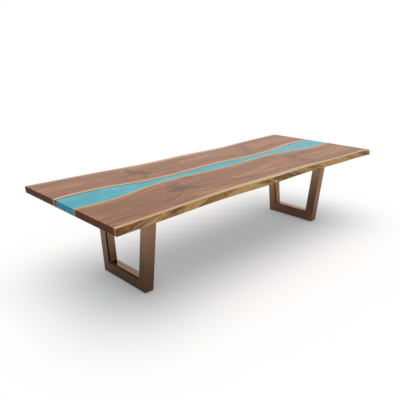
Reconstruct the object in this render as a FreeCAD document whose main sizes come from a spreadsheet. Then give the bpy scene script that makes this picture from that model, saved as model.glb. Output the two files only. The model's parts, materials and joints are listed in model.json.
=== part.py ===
import FreeCAD, Part
import math
import os
import re
import Sketcher

Vector = FreeCAD.Vector
Rotation = FreeCAD.Rotation

# Dining table with two live edge slabs, a cast resin river between them and two steel legs.
# Frame: origin on the floor under the middle of the top, +X along the table, +Z up, millimetres.
# Left is -X, right is +X, near is -Y and far is +Y.

SIDES = {"left": -1, "right": 1}
ROWS = {"near": -1, "far": 1}

# Two lengths closer than this are the same place on the model.
SAME_PLACE = 0.01

# Places along the top where the four wavy lines have a point, as shares of half the length.
PLACES = ("left_end", "left_bulge", "left_step", "left_shoulder", "left_neck", "middle",
          "right_neck", "right_shoulder", "right_step", "right_bulge", "right_end")

# Y of each line at those places, from the near live edge to the far one.
LINES = {
    "near_edge": (-641, -624, -610, -596, -576, -580, -560, -576, -579, -581, -593),
    "near_bank": (-148, -147, -122, -76, -38, -57, -22, -59, -96, -104, -64),
    "far_bank": (108, 131, 119, 79, 51, 83, 66, 114, 155, 173, 155),
    "far_edge": (588, 581, 576, 568, 544, 565, 564, 604, 621, 635, 654),
}

SIZES = {
    # Top
    "table_height": 750,
    "top_length": 3185,
    "top_thickness": 51,
    "bulge_share": 0.84,
    "step_share": 0.72,
    "shoulder_share": 0.60,
    "neck_share": 0.36,
    "edge_flare": 13,
    "edge_undercut": 6,
    "brow_inset": 4,
    "brow_drop": 4,
    # Steel legs
    "leg_overhang": 490.5,
    "leg_middle_y": -17,
    "leg_width_top": 699,
    "leg_width_bottom": 551,
    "leg_corner_radius": 6,
    "tube_width": 80,
    "tube_depth": 80,
    "rail_height": 90,
    "tube_wall": 3,
    "tube_corner_radius": 4,
    "groove_width": 5,
    "groove_depth": 10,
    "groove_floor": 4,
    "upright_liner_rise": 15,
    "rail_liner_rise": 9,
    "liner_wall": 4,
    "liner_corner_radius": 2,
    # Leg top plates and their fasteners
    "plate_overhang": 35,
    "plate_width": 150,
    "plate_thickness": 8,
    "plate_corner_radius": 10,
    "plate_bolt_gauge": 116,
    "plate_inner_bolt_inset": 175,
    "plate_outer_bolt_inset": 55,
    "bolt_slot_travel": 8,
    # Stiffening channels let into the underside
    "channel_spacing": 550,
    "channel_length": 840,
    "channel_width": 40,
    "channel_height": 20,
    "channel_wall": 4,
    "channel_clearance": 0.3,
    "channel_inner_bolt_inset": 220,
    "channel_outer_bolt_inset": 60,
    # Bolts, washers and threaded inserts
    "bolt_diameter": 8,
    "bolt_head_diameter": 14,
    "bolt_head_height": 5,
    "bolt_socket_width": 5,
    "bolt_socket_depth": 3,
    "bolt_tip_gap": 1,
    "bolt_clearance": 0.1,
    "washer_diameter": 22,
    "washer_thickness": 1.6,
    "insert_diameter": 13,
    "insert_length": 18,
    "insert_clearance": 0.05,
    # Levelling feet
    "foot_inset": 72,
    "foot_pad_diameter": 36,
    "foot_pad_height": 3,
    "foot_pad_rim": 1.2,
    "foot_pin_diameter": 12,
    "foot_pin_depth": 1.5,
    "foot_collar_width": 16,
    "foot_collar_height": 6,
    "foot_collar_hole": 24,
    "foot_stud_diameter": 10,
    "foot_stud_length": 50,
    "foot_running_clearance": 0.08,
    "nut_block_length": 44,
    "nut_block_height": 14,
    "nut_block_gap": 4,
}

doc = FreeCAD.newDocument("LiveEdgeTable")
sheet = doc.addObject("Spreadsheet::Sheet", "Sizes")


def fill_sheet():
    """Write every driving size into its own cell, with its name as the alias."""
    rows = dict(SIZES)
    for line, offsets in LINES.items():
        for place, offset in zip(PLACES, offsets):
            rows[f"{line}_{place}"] = offset
    for row, (alias, number) in enumerate(rows.items(), start=1):
        sheet.set(f"A{row}", alias.replace("_", " "))
        sheet.set(f"B{row}", str(number))
        sheet.setAlias(f"B{row}", alias)
    doc.recompute()
    return set(rows)


ALIASES = fill_sheet()

# Lines worked out from the sheet, written as expressions of its names.
UNDERSIDE = "(table_height - top_thickness)"
PLATE_UNDERSIDE = f"({UNDERSIDE} - plate_thickness)"
LEG_MIDDLE = "(top_length / 2 - leg_overhang)"
PLATE_LENGTH = "(leg_width_top + 2 * plate_overhang)"
RAIL_TOP = "(foot_pad_height + rail_height)"
RAIL_LINER_TOP = f"({RAIL_TOP} + rail_liner_rise)"
UPRIGHT_LINER_FACE = "(tube_width + upright_liner_rise)"
LINER_WIDTH = "(tube_depth - 2 * tube_wall - 2 * groove_width)"
LEG_LEAN = f"((leg_width_top - leg_width_bottom) / 2 / ({PLATE_UNDERSIDE} - foot_pad_height))"
LEAN_STRETCH = f"sqrt(1 + {LEG_LEAN} * {LEG_LEAN})"
NUT_BLOCK_BOTTOM = "(foot_pad_height + foot_collar_height + nut_block_gap)"
FOOT_MIDDLE = "(leg_width_bottom / 2 - foot_inset)"


def leg_line(height, depth="0"):
    """Half width of the leg at a height, measured to a line a depth inside the uprights' outer faces."""
    return f"(leg_width_bottom / 2 + {LEG_LEAN} * ({height} - foot_pad_height) - {depth} * {LEAN_STRETCH})"


# Foot of the leg's outer face, how far the corner's arc reaches from it, and the inner corners of the mitre.
LEG_TIP = leg_line("foot_pad_height")
CORNER_REACH = f"(leg_corner_radius * ({LEAN_STRETCH} - {LEG_LEAN}))"
WALL_CORNER = (leg_line(RAIL_TOP, "tube_width"), RAIL_TOP)
LINER_CORNER = (leg_line(RAIL_LINER_TOP, UPRIGHT_LINER_FACE), RAIL_LINER_TOP)


def qualified(expression):
    """Put the sheet's name before each of its aliases, for use on another object."""
    return re.sub(r"[a-z_]+", lambda word: prefixed(word.group()), expression)


def prefixed(word):
    return f"Sizes.{word}" if word in ALIASES else word


def number(expression):
    """Present value of an expression of the sheet's names."""
    return float(sheet.evalExpression(expression))


def bind(thing, **expressions):
    """Tie properties of an object to the sheet. Place_x, place_y and place_z move it."""
    places = {"place_x": "Placement.Base.x", "place_y": "Placement.Base.y", "place_z": "Placement.Base.z"}
    for name, expression in expressions.items():
        thing.setExpression(places.get(name, name), qualified(expression))


def origin_plane(body, role):
    return next(plane for plane in body.Origin.OriginFeatures if plane.Role == role)


def new_body(label, place_x="0", place_y="0", place_z="0"):
    body = doc.addObject("PartDesign::Body", label)
    body.Label = label
    bind(body, place_x=place_x, place_y=place_y, place_z=place_z)
    return body


def new_sketch(body, name, plane, lift="0"):
    """Empty sketch on one of the body's own planes, lifted along the plane's normal."""
    sketch = body.newObject("Sketcher::SketchObject", f"{body.Name}_{name}")
    sketch.AttachmentSupport = (origin_plane(body, plane), [""])
    sketch.MapMode = "FlatFace"
    sketch.setExpression("AttachmentOffset.Base.z", qualified(lift))
    return sketch


def pin_point(sketch, geometry, end, across, up):
    """Hold one end of a sketch element at two distances from the sketch's origin."""
    for kind, expression in (("DistanceX", across), ("DistanceY", up)):
        constraint = Sketcher.Constraint(kind, -1, 1, geometry, end, number(expression))
        index = sketch.addConstraint(constraint)
        sketch.setExpression(f"Constraints[{index}]", qualified(expression))


def draw_polygon(sketch, corners):
    """Closed polygon whose corners are pairs of expressions."""
    points = [Vector(number(across), number(up), 0) for across, up in corners]
    first = sketch.GeometryCount
    count = len(points)
    for index in range(count):
        sketch.addGeometry(Part.LineSegment(points[index], points[(index + 1) % count]))
    for index in range(count):
        following = first + (index + 1) % count
        sketch.addConstraint(Sketcher.Constraint("Coincident", first + index, 2, following, 1))
    for index, (across, up) in enumerate(corners):
        pin_point(sketch, first + index, 1, across, up)


def draw_rectangle(sketch, left, bottom, right, top):
    draw_polygon(sketch, ((left, bottom), (right, bottom), (right, top), (left, top)))


def draw_circle(sketch, across, up, diameter):
    centre = Vector(number(across), number(up), 0)
    circle = sketch.addGeometry(Part.Circle(centre, Vector(0, 0, 1), number(diameter) / 2))
    pin_point(sketch, circle, 3, across, up)
    index = sketch.addConstraint(Sketcher.Constraint("Diameter", circle, number(diameter)))
    sketch.setExpression(f"Constraints[{index}]", qualified(diameter))


def draw_slot(sketch, across, up, diameter, travel):
    """Long hole along the sketch's second axis: two half circles joined by two lines."""
    middle_x = number(across)
    middle_y = number(up)
    radius = number(diameter) / 2
    reach = number(travel) / 2
    normal = Vector(0, 0, 1)
    upper = Part.Circle(Vector(middle_x, middle_y + reach, 0), normal, radius)
    lower = Part.Circle(Vector(middle_x, middle_y - reach, 0), normal, radius)
    first = sketch.GeometryCount
    sketch.addGeometry(Part.ArcOfCircle(upper, 0, math.pi))
    sketch.addGeometry(Part.LineSegment(Vector(middle_x - radius, middle_y + reach, 0),
                                        Vector(middle_x - radius, middle_y - reach, 0)))
    sketch.addGeometry(Part.ArcOfCircle(lower, math.pi, 2 * math.pi))
    sketch.addGeometry(Part.LineSegment(Vector(middle_x + radius, middle_y - reach, 0),
                                        Vector(middle_x + radius, middle_y + reach, 0)))
    joints = ((0, 2, 1, 1), (1, 2, 2, 1), (2, 2, 3, 1), (3, 2, 0, 1))
    for arc, arc_end, line, line_end in joints:
        sketch.addConstraint(Sketcher.Constraint("Tangent", first + arc, arc_end, first + line, line_end))
    pin_point(sketch, first, 3, across, f"{up} + ({travel}) / 2")
    pin_point(sketch, first + 2, 3, across, f"{up} - ({travel}) / 2")
    index = sketch.addConstraint(Sketcher.Constraint("Radius", first, radius))
    sketch.setExpression(f"Constraints[{index}]", qualified(f"({diameter}) / 2"))


def pad(body, sketch, length, side="One side"):
    feature = body.newObject("PartDesign::Pad", f"{sketch.Name}_pad")
    feature.Profile = sketch
    feature.SideType = side
    bind(feature, Length=length)
    return feature


def pocket(body, sketch, length, side="One side", reverse=False):
    """Cut a sketch out of the body and make sure that it took material away."""
    doc.recompute()
    volume = body.Shape.Volume
    feature = body.newObject("PartDesign::Pocket", f"{sketch.Name}_pocket")
    feature.Profile = sketch
    feature.SideType = side
    feature.Reversed = reverse
    bind(feature, Length=length)
    doc.recompute()
    if body.Shape.Volume >= volume:
        raise RuntimeError(f"{feature.Name} cuts nothing")
    return feature


def fillet_edges(body, base, radius, wanted):
    """Round those edges of the base feature for which wanted(edge) is true."""
    doc.recompute()
    names = [f"Edge{index}" for index, edge in enumerate(base.Shape.Edges, start=1) if wanted(edge)]
    feature = body.newObject("PartDesign::Fillet", f"{base.Name}_fillet")
    feature.Base = (base, names)
    bind(feature, Radius=radius)
    return feature


def revolve(body, sketch):
    """Turn a half profile, drawn on the XZ plane, once round the body's Z axis."""
    feature = body.newObject("PartDesign::Revolution", f"{sketch.Name}_revolution")
    feature.Profile = sketch
    feature.ReferenceAxis = (sketch, ["V_Axis"])
    feature.Angle = 360
    return feature


def runs_along(edge, direction):
    """True for a straight edge that runs in the given direction."""
    start, end = edge.Vertexes[0].Point, edge.Vertexes[-1].Point
    span = end - start
    return span.Length > 1e-6 and span.cross(direction).Length < 1e-6 * span.Length


def place_share(place):
    """Share of half the length at which a place lies, negative on the left."""
    side, _, form = place.partition("_")
    shares = {"end": "1", "bulge": "bulge_share", "step": "step_share", "shoulder": "shoulder_share",
              "neck": "neck_share"}
    return SIDES[side] * number(shares[form]) if form else 0.0


def wavy_line(line, shift, height):
    """Smooth curve through a line's points, moved across the table and lifted."""
    half_length = number("top_length") / 2
    points = []
    for place in PLACES:
        offset = number(f"{line}_{place}") + shift
        points.append(Vector(place_share(place) * half_length, offset, height))
    curve = Part.BSplineCurve()
    curve.interpolate(points)
    return curve.toShape()


def outline(first, second):
    """Closed wire of two wavy lines and the straight ends between them."""
    closing = [Part.makeLine(first.Vertexes[1].Point, second.Vertexes[1].Point),
               Part.makeLine(second.Vertexes[0].Point, first.Vertexes[0].Point)]
    return Part.Wire([first, closing[0], second, closing[1]])


def slab_blank(name, bank, edge, outward, foot_shift):
    """Live edge slab: an upright bank, and an outer face that leans and is eased at its brow."""
    top = number("table_height")
    brow = number("table_height - brow_drop")
    sections = (
        (number(UNDERSIDE), outward * foot_shift),
        (brow, 0.0),
        (top, -outward * number("brow_inset")),
    )
    wires = [outline(wavy_line(bank, 0.0, height), wavy_line(edge, shift, height))
             for height, shift in sections]
    blank = doc.addObject("Part::Feature", f"{name}_blank")
    blank.Shape = Part.makeLoft(wires, True, True)
    return blank


def resin_blank(name):
    """River cast between the two banks, as thick as the slabs."""
    base = number(UNDERSIDE)
    wire = outline(wavy_line("near_bank", 0.0, base), wavy_line("far_bank", 0.0, base))
    blank = doc.addObject("Part::Feature", f"{name}_blank")
    blank.Shape = Part.Face(wire).extrude(Vector(0, 0, number("top_thickness")))
    return blank


def plate_bolt_places():
    """X and Y of the bolts of both leg plates, as expressions."""
    return [(f"{side} * {LEG_MIDDLE} + {flank} * plate_bolt_gauge / 2",
             f"leg_middle_y + {row} * ({PLATE_LENGTH} / 2 - {inset})")
            for side in SIDES.values()
            for flank in (-1, 1)
            for row in ROWS.values()
            for inset in ("plate_inner_bolt_inset", "plate_outer_bolt_inset")]


def channel_bolt_places():
    """X and Y of the bolts of the three channels, as expressions."""
    return [(f"{station} * channel_spacing", f"leg_middle_y + {row} * (channel_length / 2 - {inset})")
            for station in (-1, 0, 1)
            for row in ROWS.values()
            for inset in ("channel_inner_bolt_inset", "channel_outer_bolt_inset")]


def insert_hole(name, across, along, base):
    """Round hole that a threaded insert sits in, and the bolt's tip above it."""
    hole = doc.addObject("Part::Cylinder", name)
    bind(hole, Radius="insert_diameter / 2 + insert_clearance", Height="insert_length",
         place_x=across, place_y=along, place_z=base)
    return hole


def channel_groove(name, station):
    """Routed groove for one channel, open at the underside."""
    groove = doc.addObject("Part::Box", name)
    bind(groove, Length="channel_width + 2 * channel_clearance",
         Width="channel_length + 2 * channel_clearance", Height="channel_height + channel_clearance",
         place_x=f"{station} * channel_spacing - channel_width / 2 - channel_clearance",
         place_y="leg_middle_y - channel_length / 2 - channel_clearance", place_z=UNDERSIDE)
    return groove


CHANNEL_CEILING = f"({UNDERSIDE} + channel_height + channel_clearance)"


def routing_tools():
    """Everything cut from the underside of the top: insert holes and channel grooves."""
    tools = []
    for index, (across, along) in enumerate(plate_bolt_places(), start=1):
        tools.append(insert_hole(f"leg_insert_hole_{index}", across, along, UNDERSIDE))
    for index, (across, along) in enumerate(channel_bolt_places(), start=1):
        tools.append(insert_hole(f"channel_insert_hole_{index}", across, along, CHANNEL_CEILING))
    for index, station in enumerate((-1, 0, 1), start=1):
        tools.append(channel_groove(f"channel_groove_{index}", station))
    routing = doc.addObject("Part::Compound", "routing_tools")
    routing.Links = tools
    return routing


def routed(label, blank, routing):
    """A blank of the top with the underside's holes and grooves cut away."""
    cut = doc.addObject("Part::Cut", label)
    cut.Label = label
    cut.Base = blank
    cut.Tool = routing
    return cut


def make_top():
    routing = routing_tools()
    near = slab_blank("near_slab", "near_bank", "near_edge", -1, number("edge_flare"))
    far = slab_blank("far_slab", "far_bank", "far_edge", 1, -number("edge_undercut"))
    return [routed("near_slab", near, routing),
            routed("far_slab", far, routing),
            routed("resin_river", resin_blank("resin_river"), routing)]


def make_channel(label, station):
    """Steel channel, web down and flush with the underside, with slots for its bolts."""
    body = new_body(label, place_x=f"{station} * channel_spacing", place_y="leg_middle_y", place_z=UNDERSIDE)
    half = "channel_width / 2"
    inner = "(channel_width / 2 - channel_wall)"
    profile = new_sketch(body, "profile", "XZ_Plane")
    draw_polygon(profile, ((f"-{half}", "0"), (half, "0"), (half, "channel_height"),
                           (inner, "channel_height"), (inner, "channel_wall"),
                           (f"-{inner}", "channel_wall"), (f"-{inner}", "channel_height"),
                           (f"-{half}", "channel_height")))
    pad(body, profile, "channel_length", "Symmetric")
    slots = new_sketch(body, "slots", "XY_Plane")
    for row in ROWS.values():
        for inset in ("channel_inner_bolt_inset", "channel_outer_bolt_inset"):
            draw_slot(slots, "0", f"{row} * (channel_length / 2 - {inset})", "bolt_diameter + 1",
                      "bolt_slot_travel")
    pocket(body, slots, "channel_wall", reverse=True)
    return body


def make_top_plate(label, side):
    """Flat plate on the uprights, slotted across the grain, with rounded corners."""
    body = new_body(label, place_x=f"{side} * {LEG_MIDDLE}", place_y="leg_middle_y",
                    place_z=PLATE_UNDERSIDE)
    blank = new_sketch(body, "outline", "XY_Plane")
    draw_rectangle(blank, "-plate_width / 2", f"-{PLATE_LENGTH} / 2", "plate_width / 2", f"{PLATE_LENGTH} / 2")
    base = pad(body, blank, "plate_thickness")
    fillet_edges(body, base, "plate_corner_radius", lambda edge: runs_along(edge, Vector(0, 0, 1)))
    slots = new_sketch(body, "slots", "XY_Plane")
    for flank in (-1, 1):
        for row in ROWS.values():
            for inset in ("plate_inner_bolt_inset", "plate_outer_bolt_inset"):
                draw_slot(slots, f"{flank} * plate_bolt_gauge / 2", f"{row} * ({PLATE_LENGTH} / 2 - {inset})",
                          "bolt_diameter + 1", "bolt_slot_travel")
    pocket(body, slots, "plate_thickness", reverse=True)
    return body


def round_bottom_corner(body, row):
    """Cut away what lies outside the arc at one bottom outer corner of the leg."""
    sketch = new_sketch(body, f"corner_{len(body.Group)}", "YZ_Plane")
    flat_end = (f"{row} * ({LEG_TIP} - {CORNER_REACH})", "foot_pad_height")
    tip = (f"{row} * {LEG_TIP}", "foot_pad_height")
    side_end = (f"{row} * ({LEG_TIP} + {CORNER_REACH} * {LEG_LEAN} / {LEAN_STRETCH})",
                f"foot_pad_height + {CORNER_REACH} / {LEAN_STRETCH}")
    points = [Vector(number(across), number(up), 0) for across, up in (flat_end, tip, side_end)]
    radius = number("leg_corner_radius")
    centre = points[0] + Vector(0, radius, 0)
    angles = [math.atan2(point.y - centre.y, point.x - centre.x) for point in (points[0], points[2])]
    flat = sketch.addGeometry(Part.LineSegment(points[0], points[1]))
    rise = sketch.addGeometry(Part.LineSegment(points[1], points[2]))
    circle = Part.Circle(centre, Vector(0, 0, 1), radius)
    arc = sketch.addGeometry(Part.ArcOfCircle(circle, min(angles), max(angles)))
    arc_ends = (1, 2) if row > 0 else (2, 1)
    sketch.addConstraint(Sketcher.Constraint("Coincident", flat, 2, rise, 1))
    sketch.addConstraint(Sketcher.Constraint("Coincident", flat, 1, arc, arc_ends[0]))
    sketch.addConstraint(Sketcher.Constraint("Coincident", rise, 2, arc, arc_ends[1]))
    pin_point(sketch, flat, 1, *flat_end)
    pin_point(sketch, flat, 2, *tip)
    pin_point(sketch, rise, 2, *side_end)
    index = sketch.addConstraint(Sketcher.Constraint("Radius", arc, radius))
    sketch.setExpression(f"Constraints[{index}]", qualified("leg_corner_radius"))
    return pocket(body, sketch, "tube_depth", "Symmetric")


def cut_liner_sides(body, ledge, groove):
    """Free the liner's sides: the ledge over each wall and the shadow groove behind it."""
    cuts = []
    for name, corners, lift, width in (("ledge", ledge, "tube_depth / 2", "tube_wall"),
                                       ("groove", groove, "tube_depth / 2 - tube_wall", "groove_width")):
        sketch = new_sketch(body, name, "YZ_Plane", lift=lift)
        draw_polygon(sketch, corners)
        cuts.append(pocket(body, sketch, width))
    mirrored = body.newObject("PartDesign::Mirrored", f"{body.Name}_other_side")
    mirrored.Originals = cuts
    mirrored.MirrorPlane = (origin_plane(body, "YZ_Plane"), [""])
    body.Tip = mirrored
    return mirrored


def at_liner_side(edge):
    """True for an edge that lies on one of the two sides of a liner."""
    return abs(abs(edge.CenterOfMass.x) - number(LINER_WIDTH) / 2) < SAME_PLACE


def upright_band(row, outer, inner, bottom, top):
    """Corners, in elevation, of the stretch of an upright between two depths and two heights."""
    places = ((bottom, outer), (top, outer), (top, inner), (bottom, inner))
    return [(f"{row} * {leg_line(height, depth)}", height) for height, depth in places]


def make_upright(label, side, row):
    """Leaning box section with a raised liner inside, mitred to the rail and cut level under the plate."""
    body = new_body(label, place_x=f"{side} * {LEG_MIDDLE}", place_y="leg_middle_y")
    top = PLATE_UNDERSIDE
    beyond = f"({top} + tube_width)"
    below = "0"
    past_liner = f"({UPRIGHT_LINER_FACE} + tube_wall)"
    shape = new_sketch(body, "elevation", "YZ_Plane")
    corners = ((LEG_TIP, "foot_pad_height"), (leg_line(top), top), (leg_line(top, UPRIGHT_LINER_FACE), top),
               LINER_CORNER, WALL_CORNER)
    draw_polygon(shape, [(f"{row} * {across}", up) for across, up in corners])
    pad(body, shape, "tube_depth", "Symmetric")
    base = round_bottom_corner(body, row)
    lean = Vector(0, row * number(LEG_LEAN), 1)

    def depth_of(edge):
        middle = edge.CenterOfMass
        return (number(leg_line(f"{middle.z}")) - row * middle.y) / number(LEAN_STRETCH)

    def on_outer_face(edge):
        return runs_along(edge, lean) and abs(depth_of(edge)) < SAME_PLACE

    def on_liner_face(edge):
        at_face = abs(depth_of(edge) - number(UPRIGHT_LINER_FACE)) < SAME_PLACE
        return runs_along(edge, lean) and at_face and at_liner_side(edge)

    fillet_edges(body, base, "tube_corner_radius", on_outer_face)
    bore_end = "(foot_pad_height + leg_corner_radius)"
    bore = new_sketch(body, "bore", "YZ_Plane")
    draw_polygon(bore, upright_band(row, "tube_wall", "(tube_width - groove_depth - groove_floor)",
                                    bore_end, beyond))
    pocket(body, bore, "tube_depth - 2 * tube_wall", "Symmetric")
    hollow = new_sketch(body, "liner_hollow", "YZ_Plane")
    draw_polygon(hollow, upright_band(row, "(tube_width / 2)", f"({UPRIGHT_LINER_FACE} - liner_wall)",
                                      bore_end, beyond))
    pocket(body, hollow, f"{LINER_WIDTH} - 2 * liner_wall", "Symmetric")
    freed = cut_liner_sides(body, upright_band(row, "tube_width", past_liner, below, beyond),
                            upright_band(row, "(tube_width - groove_depth)", past_liner, below, beyond))
    fillet_edges(body, freed, "liner_corner_radius", on_liner_face)
    return body


def rail_band(reach, bottom, top):
    """Corners, in elevation, of the stretch of the rail between two heights."""
    return [(f"-{reach}", bottom), (reach, bottom), (reach, top), (f"-{reach}", top)]


def make_bottom_rail(label, side):
    """Level box section with a raised liner on top, between the mitres, with a hole over each levelling foot."""
    body = new_body(label, place_x=f"{side} * {LEG_MIDDLE}", place_y="leg_middle_y")
    beyond = "leg_width_bottom"
    past_liner = f"({RAIL_LINER_TOP} + tube_wall)"
    half = ((LEG_TIP, "foot_pad_height"), WALL_CORNER, LINER_CORNER)
    shape = new_sketch(body, "elevation", "YZ_Plane")
    draw_polygon(shape, [*half, *[(f"-{across}", up) for across, up in reversed(half)]])
    pad(body, shape, "tube_depth", "Symmetric")
    for row in ROWS.values():
        base = round_bottom_corner(body, row)
    along = Vector(0, 1, 0)

    def on_underside(edge):
        return runs_along(edge, along) and abs(edge.CenterOfMass.z - number("foot_pad_height")) < SAME_PLACE

    def on_liner_face(edge):
        at_face = abs(edge.CenterOfMass.z - number(RAIL_LINER_TOP)) < SAME_PLACE
        return runs_along(edge, along) and at_face and at_liner_side(edge)

    fillet_edges(body, base, "tube_corner_radius", on_underside)
    bore_end = f"({LEG_TIP} - {CORNER_REACH})"
    bore = new_sketch(body, "bore", "YZ_Plane")
    draw_polygon(bore, rail_band(bore_end, "foot_pad_height + tube_wall",
                                 f"{RAIL_TOP} - groove_depth - groove_floor"))
    pocket(body, bore, "tube_depth - 2 * tube_wall", "Symmetric")
    hollow = new_sketch(body, "liner_hollow", "YZ_Plane")
    draw_polygon(hollow, rail_band(bore_end, f"{RAIL_TOP} - rail_height / 2", f"{RAIL_LINER_TOP} - liner_wall"))
    pocket(body, hollow, f"{LINER_WIDTH} - 2 * liner_wall", "Symmetric")
    freed = cut_liner_sides(body, rail_band(beyond, RAIL_TOP, past_liner),
                            rail_band(beyond, f"{RAIL_TOP} - groove_depth", past_liner))
    fillet_edges(body, freed, "liner_corner_radius", on_liner_face)
    holes = new_sketch(body, "foot_holes", "XY_Plane", lift="foot_pad_height")
    for row in ROWS.values():
        draw_circle(holes, "0", f"{row} * {FOOT_MIDDLE}", "foot_collar_hole")
    pocket(body, holes, "tube_wall", reverse=True)
    return body


def foot_places():
    """Side, row and the place of each levelling foot."""
    return [(side, row, f"{side_sign} * {LEG_MIDDLE}", f"leg_middle_y + {row_sign} * {FOOT_MIDDLE}")
            for side, side_sign in SIDES.items()
            for row, row_sign in ROWS.items()]


def make_foot_pad(label, across, along):
    """Round nylon pad with an eased rim and a socket for the stud's pin."""
    body = new_body(label, place_x=across, place_y=along)
    socket = "(foot_pin_diameter / 2 + foot_running_clearance)"
    floor = "(foot_pad_height - foot_pin_depth)"
    profile = new_sketch(body, "profile", "XZ_Plane")
    draw_polygon(profile, (("0", "0"), ("foot_pad_diameter / 2 - foot_pad_rim", "0"),
                           ("foot_pad_diameter / 2", "foot_pad_rim"),
                           ("foot_pad_diameter / 2", "foot_pad_height"),
                           (socket, "foot_pad_height"), (socket, floor), ("0", floor)))
    revolve(body, profile)
    return body


def make_foot_stud(label, across, along):
    """Steel stud: a pin that turns in the pad, a hexagonal collar and a threaded shank."""
    body = new_body(label, place_x=across, place_y=along)
    pin_base = "(foot_pad_height - foot_pin_depth)"
    collar_top = "(foot_pad_height + foot_collar_height)"
    stud_top = f"({collar_top} + foot_stud_length)"
    chamfer = "foot_stud_diameter / 10"
    profile = new_sketch(body, "profile", "XZ_Plane")
    draw_polygon(profile, (("0", pin_base), ("foot_pin_diameter / 2", pin_base),
                           ("foot_pin_diameter / 2", "foot_pad_height"),
                           ("foot_stud_diameter / 2", "foot_pad_height"),
                           ("foot_stud_diameter / 2", f"{stud_top} - {chamfer}"),
                           (f"foot_stud_diameter / 2 - {chamfer}", stud_top), ("0", stud_top)))
    revolve(body, profile)
    collar = new_sketch(body, "collar", "XY_Plane", lift="foot_pad_height")
    flat = "foot_collar_width / 2"
    corner = "foot_collar_width / sqrt(3)"
    draw_polygon(collar, ((corner, "0"), (f"{corner} / 2", flat), (f"-{corner} / 2", flat),
                          (f"-{corner}", "0"), (f"-{corner} / 2", f"-{flat}"), (f"{corner} / 2", f"-{flat}")))
    pad(body, collar, "foot_collar_height")
    return body


def make_nut_block():
    """Tapped block that spans the inside of a rail, drawn at the floor under its foot."""
    body = new_body("nut_block_pattern")
    blank = new_sketch(body, "outline", "XY_Plane", lift=NUT_BLOCK_BOTTOM)
    reach = "(tube_depth / 2 - tube_wall)"
    draw_rectangle(blank, f"-{reach}", "-nut_block_length / 2", reach, "nut_block_length / 2")
    draw_circle(blank, "0", "0", "foot_stud_diameter + 2 * foot_running_clearance")
    pad(body, blank, "nut_block_height")
    return body


def make_insert():
    """Threaded insert, drawn with its mouth at the origin and its closed end upwards."""
    body = new_body("insert_pattern")
    ring = new_sketch(body, "outline", "XY_Plane")
    draw_circle(ring, "0", "0", "insert_diameter")
    draw_circle(ring, "0", "0", "bolt_diameter + 2 * bolt_clearance")
    pad(body, ring, "insert_length")
    return body


def make_washer():
    body = new_body("washer_pattern")
    ring = new_sketch(body, "outline", "XY_Plane")
    draw_circle(ring, "0", "0", "washer_diameter")
    draw_circle(ring, "0", "0", "bolt_diameter + 2 * bolt_clearance")
    pad(body, ring, "washer_thickness")
    return body


def make_bolt(name, reach):
    """Button head bolt, drawn with its head's seat at the origin and its shank upwards."""
    body = new_body(f"{name}_pattern")
    edge = "bolt_head_height / 2"
    profile = new_sketch(body, "profile", "XZ_Plane")
    draw_polygon(profile, (("0", "-bolt_head_height"),
                           (f"bolt_head_diameter / 2 - {edge}", "-bolt_head_height"),
                           ("bolt_head_diameter / 2", f"-{edge}"), ("bolt_head_diameter / 2", "0"),
                           ("bolt_diameter / 2", "0"), ("bolt_diameter / 2", reach), ("0", reach)))
    revolve(body, profile)
    socket = new_sketch(body, "socket", "XY_Plane", lift="-bolt_head_height")
    flat = "bolt_socket_width / 2"
    corner = "bolt_socket_width / sqrt(3)"
    draw_polygon(socket, ((corner, "0"), (f"{corner} / 2", flat), (f"-{corner} / 2", flat),
                          (f"-{corner}", "0"), (f"-{corner} / 2", f"-{flat}"), (f"{corner} / 2", f"-{flat}")))
    pocket(body, socket, "bolt_socket_depth", reverse=True)
    return body


def group_of_copies(label, pattern, places):
    """One object that holds a separate copy of a pattern at every place."""
    doc.recompute()
    copies = []
    for across, along, up in places:
        copy = pattern.Shape.copy()
        copy.translate(Vector(number(across), number(along), number(up)))
        copies.append(copy)
    group = doc.addObject("Part::Feature", label)
    group.Label = label
    group.Shape = Part.makeCompound(copies)
    return group


def make_fasteners():
    """Inserts, washers and bolts of the leg plates and of the channels."""
    sets = (
        ("leg", plate_bolt_places(), UNDERSIDE, PLATE_UNDERSIDE),
        ("stiffener", channel_bolt_places(), CHANNEL_CEILING, UNDERSIDE),
    )
    insert = make_insert()
    washer = make_washer()
    groups = []
    for name, places, insert_base, seat in sets:
        head_seat = f"({seat} - washer_thickness)"
        bolt = make_bolt(name, f"{insert_base} + insert_length - bolt_tip_gap - {head_seat}")
        groups.append(group_of_copies(f"{name}_inserts", insert, [(*place, insert_base) for place in places]))
        groups.append(group_of_copies(f"{name}_washers", washer, [(*place, head_seat) for place in places]))
        groups.append(group_of_copies(f"{name}_bolts", bolt, [(*place, head_seat) for place in places]))
    return groups


def make_legs():
    pieces = []
    for side, sign in SIDES.items():
        pieces.append(make_top_plate(f"{side}_leg_top_plate", sign))
        for row, row_sign in ROWS.items():
            pieces.append(make_upright(f"{side}_leg_{row}_upright", sign, row_sign))
        pieces.append(make_bottom_rail(f"{side}_leg_bottom_rail", sign))
    return pieces


def make_feet():
    pieces = []
    for side, row, across, along in foot_places():
        pieces.append(make_foot_pad(f"{side}_{row}_foot_pad", across, along))
        pieces.append(make_foot_stud(f"{side}_{row}_foot_stud", across, along))
    places = [(across, along, "0") for _, _, across, along in foot_places()]
    pieces.append(group_of_copies("foot_nut_blocks", make_nut_block(), places))
    return pieces


def make_channels():
    stations = {"left": -1, "middle": 0, "right": 1}
    return [make_channel(f"{name}_stiffener", station) for name, station in stations.items()]


def check_document(pieces):
    """Stop if anything in the document failed or a piece has no sound shape."""
    for thing in doc.Objects:
        if "Invalid" in thing.State or "Error" in thing.State:
            raise RuntimeError(f"{thing.Name} failed: {thing.State}")
    for piece in pieces:
        if piece.Shape.isNull() or not piece.Shape.isValid():
            raise RuntimeError(f"{piece.Label} has no sound shape")


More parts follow.
